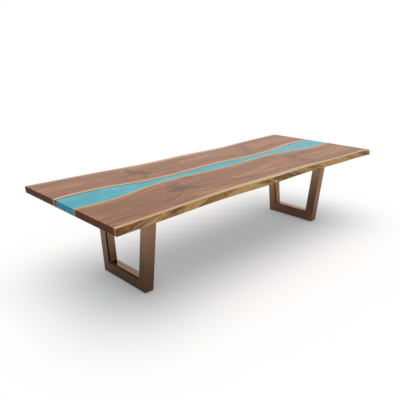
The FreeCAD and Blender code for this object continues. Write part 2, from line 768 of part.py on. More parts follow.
def write_pieces(pieces):
    os.makedirs("parts", exist_ok=True)
    for piece in pieces:
        piece.Shape.exportStep(f"parts/{piece.Label}.step")
        box = piece.Shape.BoundBox
        print(piece.Label, len(piece.Shape.Solids), round(piece.Shape.Volume),
              [round(size, 1) for size in (box.XMin, box.YMin, box.ZMin, box.XMax, box.YMax, box.ZMax)])


pieces = make_top() + make_channels() + make_legs() + make_feet() + make_fasteners()
doc.recompute()
check_document(pieces)
write_pieces(pieces)
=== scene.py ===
"""Finishes and studio stage for a live edge dining table with a cast resin river.

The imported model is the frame. Steel, fasteners and feet keep their solids and get their finishes here.
The two slabs and the river are drawn again, with natural edges, growth rings and eased arrises.
Lengths are metres in the frame's own axes: +X along the table, +Z up, the floor at z = 0.
"""
import json
import math

import bpy
import numpy as np
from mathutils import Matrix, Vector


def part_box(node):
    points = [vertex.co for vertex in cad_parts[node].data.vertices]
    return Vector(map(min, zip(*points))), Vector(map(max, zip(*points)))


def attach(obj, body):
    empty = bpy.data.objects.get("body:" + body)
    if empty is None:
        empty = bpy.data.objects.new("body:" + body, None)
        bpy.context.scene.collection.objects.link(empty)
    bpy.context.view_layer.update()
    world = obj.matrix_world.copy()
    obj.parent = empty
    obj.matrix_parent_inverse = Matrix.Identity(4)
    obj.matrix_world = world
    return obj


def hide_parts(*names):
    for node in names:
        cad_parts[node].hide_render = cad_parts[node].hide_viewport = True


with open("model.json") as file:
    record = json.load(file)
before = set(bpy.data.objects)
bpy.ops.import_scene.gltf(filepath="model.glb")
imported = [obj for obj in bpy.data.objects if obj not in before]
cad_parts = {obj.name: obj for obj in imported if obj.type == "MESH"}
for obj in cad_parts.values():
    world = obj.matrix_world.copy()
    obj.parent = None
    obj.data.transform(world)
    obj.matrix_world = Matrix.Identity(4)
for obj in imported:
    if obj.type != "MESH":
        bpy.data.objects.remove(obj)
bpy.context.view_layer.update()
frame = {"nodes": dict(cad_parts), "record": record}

bl_info = {
    "name": "Live Edge River Table",
    "version": (1, 0, 0),
    "blender": (4, 5, 0),
    "location": "View3D > Sidebar > River Table",
    "description": "Draws the slabs and the river of a live edge table and gives every piece its finish",
    "category": "Object",
}

TABLE = "table"
SLABS = {"near_slab": -1, "far_slab": 1}
STIFFENERS = ("left_stiffener", "middle_stiffener", "right_stiffener")

# Levels of the top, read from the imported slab.
TOP_LOW, TOP_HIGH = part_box("near_slab")
THICKNESS = TOP_HIGH.z - TOP_LOW.z

# Corners closer than this to a level lie on it, and places are told apart by this many decimals.
ON_LEVEL = 1e-5
PLACE_DECIMALS = 6

# The groove round each stiffener is this much wider and deeper than the steel. Each of its sides is drawn as
# two sections, a hair before it and a hair behind. Columns outside start this share of their width past it.
GROOVE_CLEARANCE = 0.0003
GROOVE_HAIR = GROOVE_CLEARANCE / 6
GROOVE_PAST = 0.0003

# Counts of the lattices that the skins of the slabs and of the river are taken from.
SECTIONS = 470
COLUMNS = 56
GROOVE_COLUMN = 34
FACE_LEVELS = 13
TURN_STEPS = 5
RIVER_COLUMNS = 15
RIVER_LEVELS = 4

# Edges that turn by more than this stay sharp.
CREASE = math.radians(40)

# Waves of an uneven field: their count, how much shorter and lower each is than the one before, the ranges
# of the draws for their directions, and what their sum is divided by.
WAVE_COUNT = 7
WAVE_SHRINK = 1.6
WAVE_ALONG = (0.6, 1.4)
WAVE_ACROSS = (-1.2, 1.2)
WAVE_SUM = 1.9

# Uneven fields that push the wood's patterns about: height, longest waves along and across, and seed.
WARPS = {
    "figure along": (0.030, (0.30, 0.16), 31),
    "figure across": (0.018, (0.22, 0.12), 32),
    "rings slow": (0.010, (0.75, 0.30), 11),
    "rings short": (0.002, (0.16, 0.06), 12),
    "bark along": (0.030, (0.26, 0.20), 51),
    "bark down": (0.050, (0.20, 0.26), 52),
    "stripes": (0.030, (0.40, 0.30), 53),
}

# The growth rings are laid out on a board of this even width, then drawn out to each slab's outline.
BOARD_WIDTH = 0.52

# Path of the tree's heart across that board and below its face: its middle, then the height, length and
# phase of each sway. At a branch the rings bulge this much, out to this many half widths of its dark figure.
HEART_ACROSS = (0.27, (0.030, 3.1, 0.6), (0.012, 1.3, 2.0))
HEART_BELOW = (0.085, (0.050, 2.7, math.pi), (0.012, 0.9, 0.4))
BRANCH_BULGE = 0.060
BRANCH_REACH = 1.7

# Dark figure: two ends of a streak as (x, distance from the bank on the even board), half width and depth.
FIGURE = {
    "near_slab": (
        ((-0.79, 0.205), (-0.74, 0.260), 0.080, 0.78),
        ((-0.81, 0.130), (-0.70, 0.150), 0.024, 0.50),
        ((-0.685, 0.200), (-0.68, 0.300), 0.026, 0.45),
        ((-0.80, 0.235), (-0.73, 0.240), 0.030, 0.55),
        ((-0.85, 0.215), (-0.82, 0.310), 0.024, 0.35),
        ((-1.45, 0.455), (-0.80, 0.450), 0.026, 0.30),
        ((-1.42, 0.220), (-1.05, 0.300), 0.130, 0.36),
        ((0.72, 0.160), (0.70, 0.340), 0.052, 0.80),
        ((0.78, 0.175), (0.86, 0.240), 0.036, 0.50),
        ((-0.56, 0.050), (-0.50, 0.060), 0.032, 0.60),
        ((0.50, 0.085), (0.60, 0.070), 0.034, 0.55),
    ),
    "far_slab": (
        ((-0.76, 0.375), (-0.68, 0.185), 0.045, 0.90),
        ((-0.86, 0.210), (-0.76, 0.300), 0.034, 0.55),
        ((0.74, 0.345), (0.60, 0.150), 0.048, 0.70),
        ((-0.56, 0.080), (-0.46, 0.070), 0.032, 0.55),
        ((0.46, 0.085), (0.56, 0.075), 0.032, 0.45),
    ),
}

# Distance from the middle of the table over which the pale rim narrows.
RIM_SPREAD = 0.75

# Inner bark on the live edges: x at the brow, x at the foot, half width, depth. The far edge mirrors it.
BARK = (
    (-1.55, -1.68, 0.055, 0.70),
    (-1.38, -1.55, 0.130, 0.75),
    (-1.07, -1.15, 0.095, 0.80),
    (-0.57, -0.79, 0.120, 0.75),
    (-0.16, 0.00, 0.060, 0.60),
    (0.08, 0.34, 0.150, 0.85),
    (0.52, 0.71, 0.080, 0.70),
    (1.18, 1.35, 0.070, 0.50),
    (1.43, 1.58, 0.090, 0.80),
)

# Height that the live edge is stretched to, so that the streaks of bark are as broad as they are deep.
BARK_HEIGHT = 0.30

# Hollows of the live edge: share of the relief, longest waves along and down, and seed. The rest is bark.
SWELL_SHARE, SWELL_SPANS, SWELL_SEED = 0.40, (0.62, 0.16), 40
RIDGE_SHARE, RIDGE_SPANS, RIDGE_SEED = 0.25, (0.24, 0.05), 41
BARK_SHARE = 0.35

# Share of the relief at the brow, where it starts to grow, over how much of the thickness, and the power.
RELIEF_LEAST = 0.10
RELIEF_START = 0.05
RELIEF_RUN = 0.6
RELIEF_POWER = 1.5

# Stripes of the live edge lean along it by this much for each step down, either way from the middle.
# The lean turns over within this distance, and the stripes' waves see the depth stretched.
STRIPE_LEAN = 4.2
STRIPE_TURN = 0.3
STRIPE_STRETCH = 5

# Depths below the top between which the face of the live edge turns into the pale rim.
BROW_FADE = (0.0035, 0.001)

# Length and width of the walnut's patterns in millimetres, and the finer octaves that each holds. Real
# fibre and pores are several times finer, and are drawn coarser here so that they show.
GRAIN = {"drift": (400, 45, 3), "hue": (700, 60, 3), "fibre": (70, 2.4, 3), "pores": (16, 0.8, 1)}

# How much each pattern counts in the walnut's tone.
TONE = {"rings": 0.62, "drift": 0.28, "fibre": 0.26}

# Sizes of the other patterns in millimetres. The end grain's vessels are drawn coarser so that they show.
PATTERN = {
    "ring band": 55,
    "bark patch": 40,
    "bark stripe": 36,
    "end vessel": 1.6,
    "resin haze": 71.4,
    "resin end swirl": 62.5,
    "bank cloud": 60,
    "lacquer cloud": 111.1,
    "orange peel": 2,
    "zinc cloud": 6,
    "nylon grain": 0.5,
}

# Patterns with their own sizes along X, Y and Z in millimetres: swirls of the river, and brush lines on the
# steel, which are drawn coarser than they are.
RESIN_SWIRL = (312.5, 111.1, 111.1)
BRUSH_LINE = (1.11, 16.7, 16.7)

# Shares of the way to the left and right ends between which the painted shade along the far bank fades, and
# its strengths.
BANK_SHADE_FADE = (0.4, 0.3)
BANK_SHADE_STRENGTH = (0.95, 0.70)

# Painted shade: the lacquer's colour darkens towards the left leg's foot, for the shadowed floor that the
# metal reflects there. The heights and tones of that change, and the x where it is full and where none is
# left.
PAINTED_SHADE_HEIGHTS = (0.17, 0.60)
PAINTED_SHADE_TONES = (0.72, 1.06)
PAINTED_SHADE_ENDS = (-1.0, 1.0)

# Half length of the floor, the share of its added white that is left in a closed corner, and the width of
# the camera's sensor in millimetres.
FLOOR_REACH = 60.0
CORNER_WHITE = 0.45
SENSOR_WIDTH = 36.0

# Settings of a mix of two colours, and of a colour that a shade darkens. Socket 0 is the factor, and sockets
# 6 and 7 are the colours.
COLOUR_MIX = {"kind": "ShaderNodeMix", "out": 2, "data_type": "RGBA"}
SHADING = {**COLOUR_MIX, "blend_type": "MULTIPLY"}


def linear(hex_colour):
    """Linear RGBA of an sRGB hex colour: c / 12.92 for dark channels, else ((c + 0.055) / 1.055) ^ 2.4."""
    channels = [int(hex_colour[i:i + 2], 16) / 255 for i in (1, 3, 5)]
    return (*[c / 12.92 if c <= 0.04045 else ((c + 0.055) / 1.055) ** 2.4 for c in channels], 1.0)


def length(name, description, default):
    """Property of a length in metres."""
    return bpy.props.FloatProperty(name=name, description=description, default=default, min=0.0,
                                   precision=4, subtype="DISTANCE", unit="LENGTH")


def colour(name, description, hex_colour):
    """Property of a colour, from its sRGB hex value."""
    return bpy.props.FloatVectorProperty(name=name, description=description, default=linear(hex_colour),
                                         size=4, min=0.0, max=1.0, subtype="COLOR")


def share(name, description, default):
    """Property of a share from 0 to 1."""
    return bpy.props.FloatProperty(name=name, description=description, default=default, min=0.0, max=1.0,
                                   subtype="FACTOR")


class RiverTableTop(bpy.types.PropertyGroup):
    """Sizes and colours of the slabs and of the river."""
    arris: length("Arris", "Radius of the sanded edges at both ends", 0.0015)
    brow_out: length("Brow width", "How far the live edge stands out below the top's outline", 0.004)
    brow_drop: length("Brow drop", "How far down the live edge's brow is rounded", 0.006)
    foot_round: length("Foot round", "Radius of the live edge's lower corner", 0.006)
    relief: length("Edge relief", "Depth of the hollows in the live edge", 0.003)
    rim_sapwood: length("Rim sapwood", "Width of the pale sapwood along the live edges at the ends", 0.019)
    rim_swell: length("Rim swell", "How much wider that sapwood is in the middle of the table", 0.032)
    bank_sapwood: length("Bank sapwood", "Width of the tan sapwood along the river", 0.026)
    # Painted shade: width of the dark line along the far bank, for the shaded bank wall seen in the resin.
    line_width: length("Resin line width", "Width of the dark line along the far bank", 0.019)
    heart_dark: colour("Heartwood lines", "Late wood lines of the walnut", "#52321F")
    heart: colour("Heartwood", "Main colour of the walnut", "#8F5D3A")
    heart_red: colour("Heartwood red", "Reddish heartwood of the walnut", "#995F3A")
    heart_light: colour("Heartwood light", "Palest heartwood of the walnut", "#C38D62")
    figure: colour("Figure", "Dark figure round the old branches", "#592F22")
    rim_sap: colour("Rim sapwood colour", "Sapwood along the live edges", "#CBAC80")
    near_bank_sap: colour("Near bank colour", "Sapwood along the river on the near slab", "#C99B66")
    far_bank_sap: colour("Far bank colour", "Sapwood along the river on the far slab", "#D8B990")
    edge_gold: colour("Live edge", "Debarked face of the live edges", "#CCA46A")
    edge_brown: colour("Live edge patches", "Inner bark left in the hollows", "#6A4223")
    end_grain: colour("End grain", "Sawn ends of the slabs", "#51301F")
    end_sap: colour("End sapwood", "Outer sapwood on the near slab's sawn ends", "#8F6B50")
    end_bank: colour("End of the banks", "River sapwood on the sawn ends", "#A87A4A")
    resin: colour("Resin", "Pigmented casting resin", "#2399A9")
    resin_pale: colour("Resin swirls", "Pearl swirls in the resin", "#3FA9B5")
    # Painted shade: colour of that dark line along the far bank.
    painted_bank_shade: colour("Resin line", "Dark line where the resin meets the far bank", "#122A2F")
    # Painted shade: the cut end's colours are a darker, deeper copy of the resin's own colours.
    shaded_resin_end: colour("Resin end", "Cut end of the river", "#066A8B")
    shaded_resin_end_pale: colour("Resin end swirls", "Pearl swirls in the cut end", "#1293AE")


class RiverTableSteel(bpy.types.PropertyGroup):
    """Colours of the metal pieces and the foot pads."""
    bronze: colour("Bronze lacquer", "Metallic lacquer on the legs", "#8C6E56")
    powder: colour("Powder coat", "Stiffening channels", "#1C1C1D")
    zinc: colour("Zinc plate", "Bolts, washers, inserts, studs and nut blocks", "#B9BBBD")
    zinc_warm: colour("Zinc passivation", "Warm clouds on the zinc plate", "#C9C5B6")
    nylon: colour("Nylon", "Pads of the levelling feet", "#232323")


class RiverTableStage(bpy.types.PropertyGroup):
    """Floor, light and camera."""
    floor: colour("Floor", "Plain pale floor", "#E3DFDD")
    glow: share("Floor white", "White added to the floor as the camera and reflections see it", 0.284)
    mirrored: share("Floor white in metal", "Share of that white that reflections show", 0.4)
    glow_tint: colour("Floor white tint", "Cool tint of that white, against the table's warm bounce",
                      "#EEF9FF")
    contact: length("Contact shadow", "How near to the feet that white fades", 0.20)
    sky: bpy.props.FloatProperty(name="Sky", description="Strength of the even light", default=0.40, min=0.0)
    sun: bpy.props.FloatProperty(name="Sun", description="Strength of the soft lamp overhead", default=1.9,
                                 min=0.0, unit="POWER")
    sun_width: bpy.props.FloatProperty(name="Sun width", description="Angle that the soft lamp fills",
                                       default=math.radians(68), subtype="ANGLE", unit="ROTATION")
    eye: bpy.props.FloatVectorProperty(name="Camera place", description="Where the camera stands",
                                       default=(-2.976, -2.801, 1.752), subtype="XYZ", unit="LENGTH")
    gaze: bpy.props.FloatVectorProperty(name="Camera turn", description="Rotation of the camera",
                                        default=(math.radians(71.86), 0.0, math.radians(-43.77)),
                                        subtype="EULER", unit="ROTATION")
    lens: bpy.props.FloatProperty(name="Lens", description="Focal length on a 36 mm sensor in millimetres",
                                  default=41.6, min=1.0)


def add(tree, kind, inputs=(), out=0, stops=(), **settings):
    """Add a node: its settings, each input as a link from a socket or a plain value, and a ramp's stops.

    Inputs are a dictionary by socket, or a tuple in the node's own order. A Map Range takes its value, the
    range that this lies in and the range that it becomes, which is 0 to 1 where none is given.
    The output socket that out names is returned, or the node itself where it has no outputs.
    """
    made = tree.nodes.new(kind)
    for name, value in settings.items():
        setattr(made, name, value)
    for name, value in inputs.items() if isinstance(inputs, dict) else enumerate(inputs):
        if isinstance(value, bpy.types.NodeSocket):
            tree.links.new(value, made.inputs[name])
        else:
            made.inputs[name].default_value = value
    if stops:
        for element, (position, tint) in zip(made.color_ramp.elements, stops):
            element.position = position
            element.color = tint
    return made.outputs[out] if made.outputs else made


def new_tree(name):
    """A new material and its empty node tree."""
    material = bpy.data.materials.new(name)
    material.use_nodes = True
    material.node_tree.nodes.clear()
    return material, material.node_tree


def hermite(x, y, xs):
    """Cubic curve through the points (x, y), with each slope taken from its neighbours, at every xs."""
    slope = np.gradient(y, x, edge_order=2)
    last = np.clip(np.searchsorted(x, xs) - 1, 0, len(x) - 2)
    span = x[last + 1] - x[last]
    part = (xs - x[last]) / span
    start = (1 + 2 * part) * (1 - part) ** 2 * y[last] + part * (1 - part) ** 2 * span * slope[last]
    end = part ** 2 * (3 - 2 * part) * y[last + 1] + part ** 2 * (part - 1) * span * slope[last + 1]
    return start + end


def corners(node):
    """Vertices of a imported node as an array."""
    mesh = frame["nodes"][node].data
    points = np.empty(len(mesh.vertices) * 3, np.float32)
    mesh.vertices.foreach_get("co", points)
    return points.reshape(-1, 3).astype(float)


def top_line(node, side, xs):
    """Y of the top face's outline on one side (-1 low, +1 high): a curve through the solid's corners."""
    points = corners(node)
    level = np.unique(np.round(points[points[:, 2] > TOP_HIGH.z - ON_LEVEL], PLACE_DECIMALS), axis=0)
    middle = (level[:, 1].min() + level[:, 1].max()) / 2
    line = level[side * (level[:, 1] - middle) > 0]
    return hermite(line[:, 0], line[:, 1], xs)


def foot_lean(node, outward):
    """How far the live edge's foot stands outside the top's outline, read at the left end of the solid."""
    points = corners(node)
    end = points[np.abs(points[:, 0] - TOP_LOW.x) < ON_LEVEL]
    reach = outward * end[:, 1]
    foot = reach[np.abs(end[:, 2] - TOP_LOW.z) < ON_LEVEL].max()
    crest = reach[np.abs(end[:, 2] - TOP_HIGH.z) < ON_LEVEL].max()
    return foot - crest


def grooves():
    """Lowest and highest corners of the three stiffener grooves, as an array of shape (3, 2, 3)."""
    boxes = np.array([[list(point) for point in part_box(node)] for node in STIFFENERS])
    boxes[:, 0, :2] -= GROOVE_CLEARANCE
    boxes[:, 1] += GROOVE_CLEARANCE
    return boxes


def stations(arris):
    """X of every section: even steps, the steps of the rounded ends, and each groove's sides twice."""
    turn = np.linspace(0, math.pi / 2, TURN_STEPS)
    ends = arris * (1 - np.sin(turn))
    sides = grooves()[:, :, 0].ravel()
    even = np.linspace(TOP_LOW.x + arris, TOP_HIGH.x - arris, SECTIONS)
    return np.unique(np.concatenate([even, TOP_LOW.x + ends, TOP_HIGH.x - ends,
                                     sides - GROOVE_HAIR, sides + GROOVE_HAIR]))


def end_inset(xs, arris):
    """How far the top, the foot and the rim draw in near the ends: a quarter circle of the arris radius."""
    gap = np.minimum(xs - TOP_LOW.x, TOP_HIGH.x - xs)
    part = np.clip(1 - gap / arris, 0, 1)
    return arris * (1 - np.sqrt(1 - part ** 2))


def groove_lift(xs):
    """Height of the groove's ceiling above the underside at each section, zero outside the grooves."""
    boxes = grooves()
    inside = ((xs[:, None] > boxes[:, 0, 0]) & (xs[:, None] < boxes[:, 1, 0])).any(axis=1)
    return inside * (boxes[0, 1, 2] - TOP_LOW.z)


def waves(x, y, spans, seed):
    """Uneven field from about -1 to 1: a sum of sine waves, each shorter and lower than the one before.

    Each wave has its own direction and phase from a seeded draw. spans holds the longest wave along x and y.
    """
    draw = np.random.default_rng(seed)
    total = np.zeros(np.broadcast(x, y).shape)
    for step in range(WAVE_COUNT):
        shrink = WAVE_SHRINK ** step
        along = draw.uniform(*WAVE_ALONG)
        across = draw.uniform(*WAVE_ACROSS)
        phase = draw.uniform(0, 2 * math.pi)
        angle = 2 * math.pi * shrink * (along * x / spans[0] + across * y / spans[1]) + phase
        total = total + np.sin(angle) / shrink
    return total / WAVE_SUM


def warp(name, x, y):
    """One of the uneven fields that push the wood's patterns about, in metres."""
    height, spans, seed = WARPS[name]
    return height * waves(x, y, spans, seed)


def sway(x, middle, *swings):
    """Wandering line along the board: its middle plus sine waves of given height, length and phase."""
    return middle + sum(height * np.sin(2 * math.pi * x / span + phase) for height, span, phase in swings)


def streak(x, y, start, end, half_width):
    """Soft streak between two points: exp(-(d / half width)^2), where d is the distance from their line."""
    run, rise = end[0] - start[0], end[1] - start[1]
    along = np.clip(((x - start[0]) * run + (y - start[1]) * rise) / (run * run + rise * rise), 0, 1)
    gap = np.hypot(x - start[0] - along * run, y - start[1] - along * rise)
    return np.exp(-(gap / half_width) ** 2)


def figure_field(node, x, across):
    """Depth of the dark figure round old branches: the sum of its streaks, feathered by short waves."""
    warped_x = x + warp("figure along", x, across)
    warped_across = across + warp("figure across", x, across)
    total = np.zeros(np.broadcast(x, across).shape)
    for start, end, half_width, depth in FIGURE[node]:
        total = total + depth * streak(warped_x, warped_across, start, end, half_width)
    return total


def ring_field(node, x, across, depth):
    """Distance from the tree's heart, whose even steps are the growth rings.

    The heart runs along the board under its face and wanders, so a flat cut shows long arches:
    r = sqrt((across - heart across)^2 + (heart below + depth)^2), with waves and a bulge at each branch.
    """
    radius = np.hypot(across - sway(x, *HEART_ACROSS), sway(x, *HEART_BELOW) + depth)
    radius = radius + warp("rings slow", x, across) + warp("rings short", x, across)
    for start, end, half_width, dark in FIGURE[node]:
        radius = radius + BRANCH_BULGE * dark * streak(x, across, start, end, BRANCH_REACH * half_width)
    return radius


def bark_field(outward, x, drop):
    """How much inner bark is left on the live edge: slanted streaks, pushed about by short waves."""
    down = drop * BARK_HEIGHT
    warped_along = -outward * x + warp("bark along", x, down)
    warped_down = down + warp("bark down", x, down)
    total = np.zeros(np.broadcast(x, down).shape)
    for brow, foot, half_width, depth in BARK:
        ends = ((brow, 0.0), (foot, BARK_HEIGHT))
        total = total + depth * streak(warped_along, warped_down, *ends, half_width)
    return np.clip(total, 0, 1)


def face_levels(top):
    """Share of the thickness and outward reach of each row of the live edge, from brow to foot.

    The brow is a quarter ellipse, the face is straight, and the foot is a quarter circle.
    """
    turn = np.linspace(0, math.pi / 2, TURN_STEPS)
    brow = top.brow_drop * (1 - np.cos(turn))
    face = np.linspace(top.brow_drop, THICKNESS - top.foot_round, FACE_LEVELS)[1:-1]
    foot = THICKNESS - top.foot_round * (1 - np.sin(turn))
    drop = np.concatenate([brow, face, foot]) / THICKNESS
    reach = np.concatenate([top.brow_out * np.sin(turn), np.full(len(face), top.brow_out),
                            top.brow_out - top.foot_round * (1 - np.cos(turn))])
    return drop, reach


def live_relief(xs, drop, outward, depth):
    """Hollows of a debarked edge: long swells, sharper ridges and the bark's own hollows, deepest low down.

    The depth grows from brow to foot as least + (1 - least) * ((drop - start) / run)^power.
    """
    x, down = xs[:, None], drop[None, :]
    swell = np.clip(waves(x, down * THICKNESS, SWELL_SPANS, SWELL_SEED + outward), -1, 1)
    ridge = np.clip(waves(x, down * THICKNESS, RIDGE_SPANS, RIDGE_SEED + outward), -1, 1)
    grown = np.clip((down - RELIEF_START) / RELIEF_RUN, 0, 1) ** RELIEF_POWER
    hollow = SWELL_SHARE * (0.5 + 0.5 * swell) + RIDGE_SHARE * np.abs(ridge)
    hollow = hollow + BARK_SHARE * bark_field(outward, x, down)
    return depth * (RELIEF_LEAST + (1 - RELIEF_LEAST) * grown) * hollow


def rim_width(xs, top):
    """Width of the pale rim on the top: widest in the middle, falling off as exp(-(x / spread)^2)."""
    return top.rim_sapwood + top.rim_swell * np.exp(-(xs / RIM_SPREAD) ** 2)


def slab_lattice(node, outward, top):
    """Points of a slab on a lattice of section, column and level, and the fields that its finish reads.

    A section runs from the bank to the live edge. On the underside one column keeps to the groove's end, and
    the columns between it and the bank rise to the groove's ceiling inside each groove.
    Fields: grain is the place on the even board, ring the distance from the heart, figure and bark their
    depths, bank and rim the distances from the bank and the live edge in widths of their sapwood, and slant
    the place of a leaning stripe.
    """
    xs = stations(top.arris)
    inset = end_inset(xs, top.arris)
    bank = top_line(node, -outward, xs)
    crest = top_line(node, outward, xs)
    drop, reach = face_levels(top)
    lean = foot_lean(node, outward) - top.brow_out
    straight = np.clip((drop - top.brow_drop / THICKNESS) / (1 - top.brow_drop / THICKNESS), 0, 1)
    relief = live_relief(xs, drop, outward, top.relief)
    face = crest[:, None] + outward * (reach + lean * straight - relief - inset[:, None])

    boxes = grooves()
    groove_end = boxes[0, 0, 1] if outward < 0 else boxes[0, 1, 1]
    cut = ((groove_end - bank) / (face[:, -1] - bank))[:, None]
    over = np.linspace(0, 1, COLUMNS)[None, :]
    inner = np.linspace(0, 1, GROOVE_COLUMN) * cut
    outer = cut + (1 - cut) * np.linspace(GROOVE_PAST, 1, COLUMNS - GROOVE_COLUMN)
    under = np.concatenate([inner, outer], axis=1)
    place = over[:, :, None] * (1 - drop) + under[:, :, None] * drop

    lift = groove_lift(xs)[:, None] * (np.arange(COLUMNS) < GROOVE_COLUMN)
    low = TOP_LOW.z + inset[:, None] + lift
    high = TOP_HIGH.z - inset[:, None]
    y = bank[:, None, None] + (face[:, None, :] - bank[:, None, None]) * place
    z = high[:, :, None] - (high - low)[:, :, None] * drop
    x = np.broadcast_to(xs[:, None, None], y.shape)

    across = place * BOARD_WIDTH
    depth = TOP_HIGH.z - z
    leaning = x + outward * depth * STRIPE_LEAN * np.tanh(x / STRIPE_TURN)
    fields = {
        "grain": np.stack([x, across, depth], axis=-1),
        "ring": ring_field(node, x, across, depth),
        "figure": figure_field(node, x, across),
        "bank": np.abs(y - bank[:, None, None]) / top.bank_sapwood,
        "rim": np.abs(face[:, None, :] - y) / rim_width(x, top),
        "bark": bark_field(outward, x, np.broadcast_to(drop, x.shape)),
        "slant": leaning + warp("stripes", x, STRIPE_STRETCH * depth),
    }
    return np.stack([x, y, z], axis=-1), fields


def river_lattice(top):
    """Points of the river between its banks, on a lattice of section, column and level, and its field.

    The field far is the distance from the far bank in widths of the painted shade line.
    """
    xs = stations(top.arris)
    inset = end_inset(xs, top.arris)
    near = top_line("near_slab", 1, xs)[:, None, None]
    far = top_line("far_slab", -1, xs)[:, None, None]
    place = np.linspace(0, 1, RIVER_COLUMNS)[None, :, None]
    drop = np.linspace(0, 1, RIVER_LEVELS)[None, None, :]
    low = (TOP_LOW.z + inset + groove_lift(xs))[:, None, None]
    high = (TOP_HIGH.z - inset)[:, None, None]
    x, y, z = np.broadcast_arrays(xs[:, None, None], near + (far - near) * place, high - (high - low) * drop)
    fields = {"far": (far - y) / top.line_width}
    return np.stack([x, y, z], axis=-1), fields


def put_field(mesh, name, values):
    """Store one number or one vector for each vertex, for the materials to read."""
    kind, member = ("FLOAT_VECTOR", "vector") if values.ndim > 1 else ("FLOAT", "value")
    mesh.attributes.new(name, kind, "POINT").data.foreach_set(member, values.astype(np.float32).ravel())


def skin(name, lattice, fields, left_handed, side_slots, materials):
    """Closed skin of a lattice of points: one quad for each cell on its six sides, facing outwards."""
    outside = np.ones(lattice.shape[:3], bool)
    outside[1:-1, 1:-1, 1:-1] = False
    index = np.full(outside.shape, -1)
    index[outside] = np.arange(outside.sum())
    sides = {"top": index[:, :, 0].T, "under": index[:, :, -1], "inner": index[:, 0],
             "outer": index[:, -1].T, "left_end": index[0].T, "right_end": index[-1]}
    cells = {side: np.stack([grid[:-1, :-1], grid[1:, :-1], grid[1:, 1:], grid[:-1, 1:]], -1).reshape(-1, 4)
             for side, grid in sides.items()}
    quads = np.concatenate(list(cells.values()))
    quads = quads[:, ::-1] if left_handed else quads
    slots = np.concatenate([np.full(len(made), side_slots.get(side, 0)) for side, made in cells.items()])

    mesh = bpy.data.meshes.new(name)
    mesh.vertices.add(int(outside.sum()))
    mesh.vertices.foreach_set("co", lattice[outside].astype(np.float32).ravel())
    mesh.loops.add(quads.size)
    mesh.loops.foreach_set("vertex_index", quads.astype(np.int32).ravel())
    mesh.polygons.add(len(quads))
    mesh.polygons.foreach_set("loop_start", np.arange(0, quads.size, 4, dtype=np.int32))
    mesh.polygons.foreach_set("material_index", slots.astype(np.int32))
    mesh.update(calc_edges=True)
    for field, values in fields.items():
        put_field(mesh, field, values[outside])
    mesh.shade_smooth()
    mesh.set_sharp_from_angle(angle=CREASE)
    for material in materials:
        mesh.materials.append(material)
    piece = bpy.data.objects.new(name, mesh)
    bpy.context.scene.collection.objects.link(piece)
    return piece


def per_metre(*sizes):
    """How often patterns of the given sizes in millimetres repeat in a metre, for each axis."""
    return tuple(1000 / size for size in sizes)


def wood_patterns(tree):
    """Sockets that the walnut finishes share, all on the board's own grain coordinates.

    drift: slow change of tone. hue: slow change from brown to red. fibre: fine streaks. pores: open vessels.
    rings: growth rings, in bands with finer ones inside.
    """
    grain = add(tree, "ShaderNodeAttribute", attribute_name="grain", out="Vector")
    ring = add(tree, "ShaderNodeAttribute", attribute_name="ring", out="Fac")
    found = {}
    for name, (long, wide, octaves) in GRAIN.items():
        scale = per_metre(long, wide, wide)
        stretched = add(tree, "ShaderNodeVectorMath", (grain, scale), operation="MULTIPLY")
        found[name] = add(tree, "ShaderNodeTexNoise", {"Vector": stretched, "Scale": 1.0, "Detail": octaves})
    bands = {"W": ring, "Scale": 1000 / PATTERN["ring band"], "Detail": 6.0, "Roughness": 0.66}
    found["rings"] = add(tree, "ShaderNodeTexNoise", bands, noise_dimensions="1D")
    return found


def edge_band(tree, field, wobble, swing, blur):
    """1 inside a band beside an edge, 0 outside it. The border wanders by swing and is soft over blur.

    The field is 0 at the edge and 1 at the border's middle.
    """
    gap = add(tree, "ShaderNodeAttribute", attribute_name=field, out="Fac")
    moved = add(tree, "ShaderNodeMath", (wobble, swing, gap), operation="MULTIPLY_ADD")
    middle = 1 + swing / 2
    return add(tree, "ShaderNodeMapRange", (moved, middle + blur / 2, middle - blur / 2),
               interpolation_type="SMOOTHSTEP")


def near_side(tree):
    """1 on the near slab, which lies at negative Y, and 0 on the far one."""
    place = add(tree, "ShaderNodeTexCoord", out="Object")
    across = add(tree, "ShaderNodeSeparateXYZ", (place,), out="Y")
    return add(tree, "ShaderNodeMath", (across, 0.0), operation="LESS_THAN")


